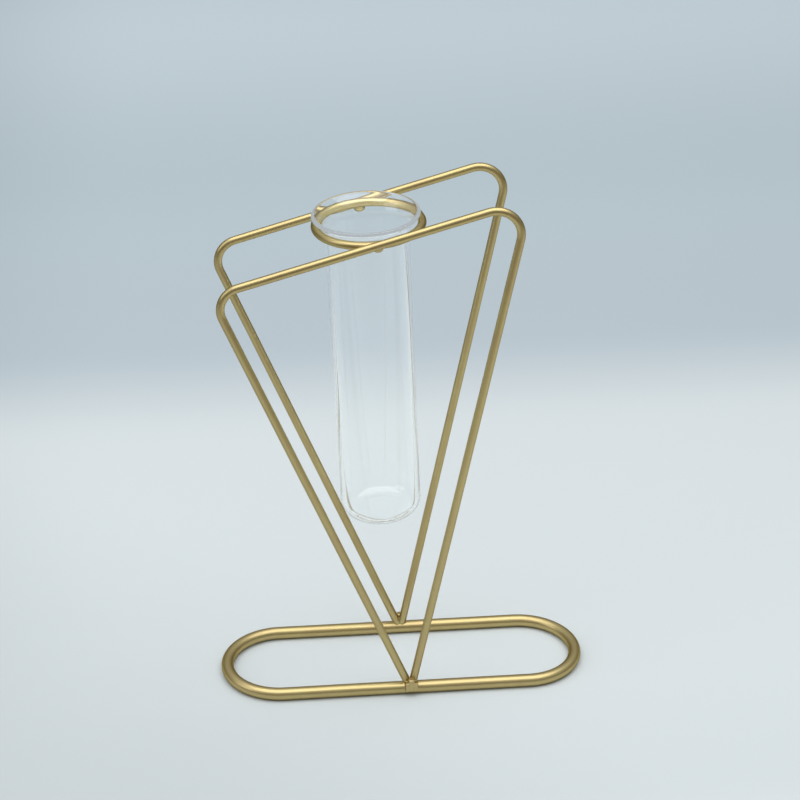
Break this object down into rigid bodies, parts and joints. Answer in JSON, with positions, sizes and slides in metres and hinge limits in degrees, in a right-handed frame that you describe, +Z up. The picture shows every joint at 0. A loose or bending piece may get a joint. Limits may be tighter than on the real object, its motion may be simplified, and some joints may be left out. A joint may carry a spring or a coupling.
{
  "type": "test tube vase",
  "caption": "Bud vase: a clear flared glass tube hangs in a wire ring between two bent gold wire frames on a rod loop base.",
  "frame": {"origin": "middle of the base loop's footprint, on the table", "axes": "+Z up, +X along the loop towards the high corner of the frames, -Y to the front"},
  "size_m": [0.1408, 0.0492, 0.1976],
  "materials": {
    "gold_wire": "satin champagne gold plating",
    "gold_rod": "satin champagne gold plating",
    "weld_metal": "plated weld, slightly duller",
    "clear_glass": "clear polished glass"
  },
  "bodies": {
    "stand": {"front_frame": "gold_wire", "rear_frame": "gold_wire", "tube_ring": "gold_wire", "front_foot_peg": "gold_wire", "rear_foot_peg": "gold_wire", "base_loop": "gold_rod", "front_foot_weld": "weld_metal", "rear_foot_weld": "weld_metal", "front_ring_weld": "weld_metal", "rear_ring_weld": "weld_metal"},
    "glass": {"glass_tube": "clear_glass"}
  },
  "joints": [
    {"name": "tube_lift", "type": "slide", "parent": "stand", "child": "glass", "axis": [-0.0453, -0.0332, 0.9984], "range_m": [0, 0.13]}
  ]
}
